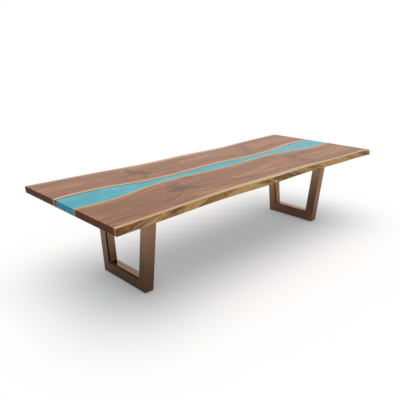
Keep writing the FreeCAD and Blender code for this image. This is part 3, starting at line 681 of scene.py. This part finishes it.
def walnut_board(top):
    """Black walnut, flat sawn, sanded and rubbed with hard wax oil: streaked brown with a satin sheen.

    The first two numbers after a pattern are the values at which it starts to show and shows in full.
    """
    material, tree = new_tree("Walnut board, sanded and oiled")
    wood = wood_patterns(tree)
    tone = 0.0
    for name, weight in TONE.items():
        tone = add(tree, "ShaderNodeMath", (wood[name], weight, tone), operation="MULTIPLY_ADD")
    redness = add(tree, "ShaderNodeMapRange", (wood["hue"], 0.40, 0.62))
    lines = add(tree, "ShaderNodeMapRange", (tone, 0.60, 0.42), interpolation_type="SMOOTHSTEP")
    lights = add(tree, "ShaderNodeMapRange", (tone, 0.59, 0.73), interpolation_type="SMOOTHSTEP")
    figure = add(tree, "ShaderNodeAttribute", attribute_name="figure", out="Fac")
    figure = add(tree, "ShaderNodeMath", (figure, wood["rings"]), operation="MULTIPLY")
    figure = add(tree, "ShaderNodeMapRange", (figure, 0.04, 0.50, 0.0, 0.85))
    heart = add(tree, inputs={0: redness, 6: top.heart, 7: top.heart_red}, **COLOUR_MIX)
    heart = add(tree, inputs={0: lines, 6: heart, 7: top.heart_dark}, **COLOUR_MIX)
    heart = add(tree, inputs={0: lights, 6: heart, 7: top.heart_light}, **COLOUR_MIX)
    heart = add(tree, inputs={0: figure, 6: heart, 7: top.figure}, **COLOUR_MIX)

    shade = add(tree, "ShaderNodeMapRange", (wood["fibre"], 0.3, 0.7, 0.80, 1.06))
    rim = edge_band(tree, "rim", wood["drift"], swing=0.7, blur=0.9)
    sap = add(tree, inputs={0: 1.0, 6: top.rim_sap, 7: shade}, **SHADING)
    bank = edge_band(tree, "bank", wood["drift"], swing=0.5, blur=0.3)
    tan = add(tree, inputs={0: near_side(tree), 6: top.far_bank_sap, 7: top.near_bank_sap}, **COLOUR_MIX)
    tan = add(tree, inputs={0: 1.0, 6: tan, 7: shade}, **SHADING)
    dots = add(tree, "ShaderNodeMapRange", (wood["pores"], 0.60, 0.72, 0.0, 0.35))
    body = add(tree, inputs={0: rim, 6: heart, 7: sap}, **COLOUR_MIX)
    body = add(tree, inputs={0: bank, 6: body, 7: tan}, **COLOUR_MIX)
    body = add(tree, inputs={0: dots, 6: body, 7: top.heart_dark}, **COLOUR_MIX)

    rough = add(tree, "ShaderNodeMapRange", (wood["fibre"], 0.2, 0.8, 0.33, 0.43))
    normal = add(tree, "ShaderNodeBump", {"Height": wood["fibre"], "Strength": 0.12, "Distance": 0.0006})
    surface = add(tree, "ShaderNodeBsdfPrincipled", {"Base Color": body, "Roughness": rough, "IOR": 1.5,
                                                     "Specular IOR Level": 0.22, "Normal": normal})
    add(tree, "ShaderNodeOutputMaterial", {"Surface": surface})
    return material


def walnut_live_edge(top):
    """Walnut sapwood, debarked, wire brushed and oiled: gold, with brown inner bark left in the hollows."""
    material, tree = new_tree("Walnut live edge, debarked and oiled")
    wood = wood_patterns(tree)
    bark = add(tree, "ShaderNodeAttribute", attribute_name="bark", out="Fac")
    slant = add(tree, "ShaderNodeAttribute", attribute_name="slant", out="Fac")
    place = add(tree, "ShaderNodeTexCoord", out="Object")
    ragged = add(tree, "ShaderNodeTexNoise", {"Vector": place, "Scale": 1000 / PATTERN["bark patch"],
                                              "Detail": 3.0, "Roughness": 0.55})
    stripes = add(tree, "ShaderNodeTexNoise", {"W": slant, "Scale": 1000 / PATTERN["bark stripe"],
                                               "Detail": 4.0, "Roughness": 0.58}, noise_dimensions="1D")
    patch = 0.0
    for pattern, weight in ((bark, 0.80), (ragged, 0.60), (stripes, 1.60)):
        patch = add(tree, "ShaderNodeMath", (pattern, weight, patch), operation="MULTIPLY_ADD")
    patch = add(tree, "ShaderNodeMapRange", (patch, 1.00, 2.00), interpolation_type="SMOOTHSTEP")
    streaks = add(tree, "ShaderNodeMapRange", (stripes, 0.30, 0.70, 1.15, 0.78))
    height = add(tree, "ShaderNodeSeparateXYZ", (place,), out="Z")
    fade = [TOP_HIGH.z - depth for depth in BROW_FADE]
    pale = add(tree, "ShaderNodeMapRange", (height, *fade))
    shade = add(tree, "ShaderNodeMapRange", (wood["fibre"], 0.3, 0.7, 0.80, 1.08))
    body = add(tree, inputs={0: patch, 6: top.edge_gold, 7: top.edge_brown}, **COLOUR_MIX)
    body = add(tree, inputs={0: 1.0, 6: body, 7: streaks}, **SHADING)
    body = add(tree, inputs={0: pale, 6: body, 7: top.rim_sap}, **COLOUR_MIX)
    body = add(tree, inputs={0: 1.0, 6: body, 7: shade}, **SHADING)
    normal = add(tree, "ShaderNodeBump", {"Height": patch, "Strength": 0.35, "Distance": 0.002})
    surface = add(tree, "ShaderNodeBsdfPrincipled", {"Base Color": body, "Roughness": 0.55, "IOR": 1.5,
                                                     "Specular IOR Level": 0.2, "Normal": normal})
    add(tree, "ShaderNodeOutputMaterial", {"Surface": surface})
    return material


def walnut_end_grain(top):
    """Sawn walnut end, sanded and oiled: the open vessels drink the oil, so it is darker than the face."""
    material, tree = new_tree("Walnut end grain, sawn and oiled")
    wood = wood_patterns(tree)
    place = add(tree, "ShaderNodeTexCoord", out="Object")
    speck = add(tree, "ShaderNodeTexNoise", {"Vector": place, "Scale": 1000 / PATTERN["end vessel"],
                                             "Detail": 2.0})
    shade = add(tree, "ShaderNodeMath", (speck, 0.35, wood["rings"]), operation="MULTIPLY_ADD")
    shade = add(tree, "ShaderNodeMapRange", (shade, 0.4, 0.95, 0.55, 1.55))
    bank = edge_band(tree, "bank", wood["drift"], swing=0.4, blur=0.25)
    rim = edge_band(tree, "rim", wood["drift"], swing=0.4, blur=0.3)
    rim = add(tree, "ShaderNodeMath", (rim, near_side(tree)), operation="MULTIPLY")
    body = add(tree, inputs={0: rim, 6: top.end_grain, 7: top.end_sap}, **COLOUR_MIX)
    body = add(tree, inputs={0: bank, 6: body, 7: top.end_bank}, **COLOUR_MIX)
    body = add(tree, inputs={0: 1.0, 6: body, 7: shade}, **SHADING)
    surface = add(tree, "ShaderNodeBsdfPrincipled", {"Base Color": body, "Roughness": 0.6, "IOR": 1.5,
                                                     "Specular IOR Level": 0.12})
    add(tree, "ShaderNodeOutputMaterial", {"Surface": surface})
    return material


def painted_bank_shade_share(tree):
    """Share of painted shade along the far bank, for the bank wall in the resin: strongest at the left end.
    """
    place = add(tree, "ShaderNodeTexCoord", out="Object")
    cloud = add(tree, "ShaderNodeTexNoise", {"Vector": place, "Scale": 1000 / PATTERN["bank cloud"],
                                             "Detail": 3.0})
    line = edge_band(tree, "far", cloud, swing=0.8, blur=0.6)
    along = add(tree, "ShaderNodeSeparateXYZ", (place,), out="X")
    ends = (TOP_LOW.x * BANK_SHADE_FADE[0], TOP_HIGH.x * BANK_SHADE_FADE[1])
    fade = add(tree, "ShaderNodeMapRange", (along, *ends, *BANK_SHADE_STRENGTH))
    return add(tree, "ShaderNodeMath", (line, fade), operation="MULTIPLY")


def cast_resin(top):
    """Epoxy casting resin with turquoise pearl pigment, polished: slow swirls under a clear gloss."""
    material, tree = new_tree("Epoxy resin, cast and polished")
    place = add(tree, "ShaderNodeTexCoord", out="Object")
    stretched = add(tree, "ShaderNodeVectorMath", (place, per_metre(*RESIN_SWIRL)), operation="MULTIPLY")
    swirl = add(tree, "ShaderNodeTexNoise", {"Vector": stretched, "Scale": 1.0, "Detail": 1.0,
                                             "Roughness": 0.45, "Distortion": 0.6})
    body = add(tree, "ShaderNodeValToRGB", (swirl,), stops=((0.34, top.resin), (0.70, top.resin_pale)))
    # Painted shade along the far bank.
    body = add(tree, inputs={0: painted_bank_shade_share(tree), 6: body, 7: top.painted_bank_shade}, **COLOUR_MIX)
    cloud = add(tree, "ShaderNodeTexNoise", {"Vector": place, "Scale": 1000 / PATTERN["resin haze"],
                                             "Detail": 3.0})
    rough = add(tree, "ShaderNodeMapRange", (cloud, 0.3, 0.7, 0.22, 0.30))
    surface = add(tree, "ShaderNodeBsdfPrincipled", {"Base Color": body, "Roughness": rough, "IOR": 1.55,
                                                     "Specular IOR Level": 0.12})
    add(tree, "ShaderNodeOutputMaterial", {"Surface": surface})
    return material


def cut_resin(top):
    """Cut and polished end of the casting, with painted shade: a darker, deeper copy of the resin's colours.
    """
    material, tree = new_tree("Epoxy resin, cut end")
    place = add(tree, "ShaderNodeTexCoord", out="Object")
    swirl = add(tree, "ShaderNodeTexNoise", {"Vector": place, "Scale": 1000 / PATTERN["resin end swirl"],
                                             "Detail": 1.0, "Distortion": 1.0})
    # Painted shade: darker, deeper copies of the resin's colours.
    body = add(tree, "ShaderNodeValToRGB", (swirl,),
               stops=((0.35, top.shaded_resin_end), (0.65, top.shaded_resin_end_pale)))
    # Painted shade along the far bank.
    body = add(tree, inputs={0: painted_bank_shade_share(tree), 6: body, 7: top.painted_bank_shade}, **COLOUR_MIX)
    surface = add(tree, "ShaderNodeBsdfPrincipled", {"Base Color": body, "Roughness": 0.25, "IOR": 1.55,
                                                     "Specular IOR Level": 0.08})
    add(tree, "ShaderNodeOutputMaterial", {"Surface": surface})
    return material


def bronze_lacquer(steel):
    """Brushed mild steel under bronze lacquer: satin brown, faint lines, painted shade at the left foot."""
    material, tree = new_tree("Mild steel, brushed and bronze lacquered")
    place = add(tree, "ShaderNodeTexCoord", out="Object")
    axes = add(tree, "ShaderNodeSeparateXYZ", (place,)).node.outputs
    cloud = add(tree, "ShaderNodeTexNoise", {"Vector": place, "Scale": 1000 / PATTERN["lacquer cloud"],
                                             "Detail": 3.0})
    shade = add(tree, "ShaderNodeMapRange", (cloud, 0.3, 0.7, 0.92, 1.06))
    # Painted shade: the colour darkens towards the floor at the left leg, for the shadowed floor it
    # reflects.
    painted_shade = add(tree, "ShaderNodeMapRange", (axes["Z"], *PAINTED_SHADE_HEIGHTS, *PAINTED_SHADE_TONES),
                 interpolation_type="SMOOTHSTEP")
    even = add(tree, "ShaderNodeMapRange", (axes["X"], *PAINTED_SHADE_ENDS))
    painted_shade = add(tree, "ShaderNodeMix", {0: even, 2: painted_shade, 3: 1.0}, data_type="FLOAT")
    shade = add(tree, "ShaderNodeMath", (shade, painted_shade), operation="MULTIPLY")
    body = add(tree, inputs={0: 1.0, 6: steel.bronze, 7: shade}, **SHADING)
    lines = add(tree, "ShaderNodeVectorMath", (place, per_metre(*BRUSH_LINE)), operation="MULTIPLY")
    lines = add(tree, "ShaderNodeTexNoise", {"Vector": lines, "Scale": 1.0, "Detail": 2.0})
    rough = add(tree, "ShaderNodeMapRange", (lines, 0.25, 0.75, 0.14, 0.20))
    surface = add(tree, "ShaderNodeBsdfPrincipled", {"Base Color": body, "Metallic": 1.0,
                                                     "Roughness": rough})
    add(tree, "ShaderNodeOutputMaterial", {"Surface": surface})
    return material


def powder_coat(steel):
    """Black polyester powder coat on steel channel: matt, with a fine orange peel."""
    material, tree = new_tree("Steel channel, powder coated")
    place = add(tree, "ShaderNodeTexCoord", out="Object")
    peel = add(tree, "ShaderNodeTexNoise", {"Vector": place, "Scale": 1000 / PATTERN["orange peel"],
                                            "Detail": 2.0})
    shade = add(tree, "ShaderNodeMapRange", (peel, 0.3, 0.7, 0.8, 1.2))
    body = add(tree, inputs={0: 1.0, 6: steel.powder, 7: shade}, **SHADING)
    normal = add(tree, "ShaderNodeBump", {"Height": peel, "Strength": 0.25, "Distance": 0.0003})
    surface = add(tree, "ShaderNodeBsdfPrincipled", {"Base Color": body, "Roughness": 0.55, "IOR": 1.5,
                                                     "Normal": normal})
    add(tree, "ShaderNodeOutputMaterial", {"Surface": surface})
    return material


def zinc_plate(steel):
    """Zinc plated steel: bright grey with a faint cloudy passivation."""
    material, tree = new_tree("Steel, zinc plated")
    place = add(tree, "ShaderNodeTexCoord", out="Object")
    cloud = add(tree, "ShaderNodeTexNoise", {"Vector": place, "Scale": 1000 / PATTERN["zinc cloud"],
                                             "Detail": 3.0})
    body = add(tree, "ShaderNodeValToRGB", (cloud,), stops=((0.3, steel.zinc), (0.75, steel.zinc_warm)))
    rough = add(tree, "ShaderNodeMapRange", (cloud, 0.3, 0.7, 0.26, 0.40))
    surface = add(tree, "ShaderNodeBsdfPrincipled", {"Base Color": body, "Metallic": 1.0,
                                                     "Roughness": rough})
    add(tree, "ShaderNodeOutputMaterial", {"Surface": surface})
    return material


def moulded_nylon(steel):
    """Black moulded nylon: a dull skin with a fine spark-eroded grain."""
    material, tree = new_tree("Nylon, moulded")
    place = add(tree, "ShaderNodeTexCoord", out="Object")
    skin_grain = add(tree, "ShaderNodeTexNoise", {"Vector": place, "Scale": 1000 / PATTERN["nylon grain"],
                                                  "Detail": 2.0})
    shade = add(tree, "ShaderNodeMapRange", (skin_grain, 0.3, 0.7, 0.85, 1.15))
    body = add(tree, inputs={0: 1.0, 6: steel.nylon, 7: shade}, **SHADING)
    normal = add(tree, "ShaderNodeBump", {"Height": skin_grain, "Strength": 0.2, "Distance": 0.0001})
    surface = add(tree, "ShaderNodeBsdfPrincipled", {"Base Color": body, "Roughness": 0.5, "IOR": 1.53,
                                                     "Normal": normal})
    add(tree, "ShaderNodeOutputMaterial", {"Surface": surface})
    return material


def finish_nodes(material, slot):
    """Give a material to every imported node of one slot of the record."""
    for subpart in frame["record"]["subparts"]:
        if subpart["material_slot"] == slot:
            mesh = frame["nodes"][subpart["node"]].data
            mesh.materials.clear()
            mesh.materials.append(material)


class RIVER_OT_slabs(bpy.types.Operator):
    """Draw both live edge slabs with their growth rings, sapwood and debarked edges"""
    bl_idname = "river_table.slabs"
    bl_label = "Live edge slabs"

    def execute(self, context):
        top = context.scene.river_table_top
        materials = (walnut_board(top), walnut_live_edge(top), walnut_end_grain(top))
        slots = {"outer": 1, "left_end": 2, "right_end": 2}
        for node, outward in SLABS.items():
            lattice, fields = slab_lattice(node, outward, top)
            board = skin(f"{node}_board", lattice, fields, outward > 0, slots, materials)
            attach(board, TABLE)
            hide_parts(node)
        return {"FINISHED"}


class RIVER_OT_river(bpy.types.Operator):
    """Draw the resin river between the banks"""
    bl_idname = "river_table.river"
    bl_label = "Resin river"

    def execute(self, context):
        top = context.scene.river_table_top
        lattice, fields = river_lattice(top)
        slots = {"left_end": 1, "right_end": 1}
        river = skin("resin_river_casting", lattice, fields, True, slots, (cast_resin(top), cut_resin(top)))
        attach(river, TABLE)
        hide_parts("resin_river")
        return {"FINISHED"}


class RIVER_OT_steel(bpy.types.Operator):
    """Finish the legs, the stiffeners, the fasteners and the foot pads"""
    bl_idname = "river_table.steel"
    bl_label = "Legs and fittings"

    def execute(self, context):
        steel = context.scene.river_table_steel
        finish_nodes(bronze_lacquer(steel), "leg_steel")
        finish_nodes(powder_coat(steel), "channel_steel")
        finish_nodes(zinc_plate(steel), "zinc_steel")
        finish_nodes(moulded_nylon(steel), "nylon")
        return {"FINISHED"}


def seen_directly(tree, mirrored):
    """1 for rays from the camera or through glass, mirrored for reflections, 0 for scattered light."""
    camera = add(tree, "ShaderNodeLightPath", out="Is Camera Ray")
    rays = camera.node.outputs
    glossy = add(tree, "ShaderNodeMath", (rays["Is Glossy Ray"], mirrored), operation="MULTIPLY")
    seen = add(tree, "ShaderNodeMath", (camera, glossy), operation="MAXIMUM")
    return add(tree, "ShaderNodeMath", (seen, rays["Is Transmission Ray"]), operation="MAXIMUM")


def studio_floor(stage):
    """Matt white studio floor: it keeps the table's shadow, darkest at the feet, and runs into the white."""
    material, tree = new_tree("Studio floor, matt white")
    matt = add(tree, "ShaderNodeBsdfDiffuse", {"Color": stage.floor})
    openness = add(tree, "ShaderNodeAmbientOcclusion", {"Distance": stage.contact}, out="AO")
    openness = add(tree, "ShaderNodeMapRange", (openness, 0.0, 1.0, CORNER_WHITE, 1.0))
    seen = seen_directly(tree, stage.mirrored)
    glow = add(tree, "ShaderNodeMath", (seen, stage.glow), operation="MULTIPLY")
    glow = add(tree, "ShaderNodeMath", (glow, openness), operation="MULTIPLY")
    white = add(tree, "ShaderNodeEmission", {"Color": stage.glow_tint, "Strength": glow})
    surface = add(tree, "ShaderNodeAddShader", (matt, white))
    add(tree, "ShaderNodeOutputMaterial", {"Surface": surface})
    return material


def studio_sky(stage):
    """White studio walls: plain white to the camera and in reflections, a weaker even light on the table."""
    world = bpy.data.worlds.new("Studio sky")
    world.use_nodes = True
    tree = world.node_tree
    tree.nodes.clear()
    white = (1.0, 1.0, 1.0, 1.0)
    strength = add(tree, "ShaderNodeMath", (seen_directly(tree, 1.0), 1.0 - stage.sky, stage.sky),
                   operation="MULTIPLY_ADD")
    sky = add(tree, "ShaderNodeBackground", {"Color": white, "Strength": strength})
    add(tree, "ShaderNodeOutputWorld", {"Surface": sky})
    return world


class RIVER_OT_stage(bpy.types.Operator):
    """Lay the floor, hang the soft light and set the camera"""
    bl_idname = "river_table.stage"
    bl_label = "Studio stage"

    def execute(self, context):
        scene = context.scene
        stage = scene.river_table_stage
        scene.view_settings.view_transform = "Standard"
        scene.world = studio_sky(stage)

        signs = np.array([(-1, -1, 0), (1, -1, 0), (1, 1, 0), (-1, 1, 0)])
        mesh = bpy.data.meshes.new("studio_floor")
        mesh.from_pydata((signs * FLOOR_REACH).tolist(), [], [(0, 1, 2, 3)])
        mesh.materials.append(studio_floor(stage))
        floor = bpy.data.objects.new("studio_floor", mesh)
        scene.collection.objects.link(floor)

        lamp = bpy.data.lights.new("soft_sun", "SUN")
        lamp.energy = stage.sun
        lamp.angle = stage.sun_width
        sun = bpy.data.objects.new("soft_sun", lamp)
        scene.collection.objects.link(sun)

        view = bpy.data.cameras.new("photo_camera")
        view.lens = stage.lens
        view.sensor_width = SENSOR_WIDTH
        camera = bpy.data.objects.new("photo_camera", view)
        camera.location = stage.eye
        camera.rotation_euler = stage.gaze
        scene.collection.objects.link(camera)
        scene.camera = camera
        return {"FINISHED"}


class RIVER_PT_panel(bpy.types.Panel):
    """Sizes, colours and the steps that draw the table"""
    bl_idname = "RIVER_PT_panel"
    bl_label = "River Table"
    bl_space_type = "VIEW_3D"
    bl_region_type = "UI"
    bl_category = "River Table"

    def draw(self, context):
        layout = self.layout
        for group in GROUPS:
            box = layout.box()
            settings = getattr(context.scene, group)
            for name in settings.__annotations__:
                box.prop(settings, name)
        for operator in OPERATORS:
            layout.operator(operator.bl_idname)


GROUPS = {
    "river_table_top": RiverTableTop,
    "river_table_steel": RiverTableSteel,
    "river_table_stage": RiverTableStage,
}
OPERATORS = (RIVER_OT_slabs, RIVER_OT_river, RIVER_OT_steel, RIVER_OT_stage)
CLASSES = (*GROUPS.values(), *OPERATORS, RIVER_PT_panel)


def register():
    for made in CLASSES:
        bpy.utils.register_class(made)
    for name, group in GROUPS.items():
        setattr(bpy.types.Scene, name, bpy.props.PointerProperty(type=group))


def unregister():
    for name in GROUPS:
        delattr(bpy.types.Scene, name)
    for made in reversed(CLASSES):
        bpy.utils.unregister_class(made)


def main():
    register()
    bpy.ops.river_table.slabs()
    bpy.ops.river_table.river()
    bpy.ops.river_table.steel()
    bpy.ops.river_table.stage()


if __name__ == "__main__":
    main()
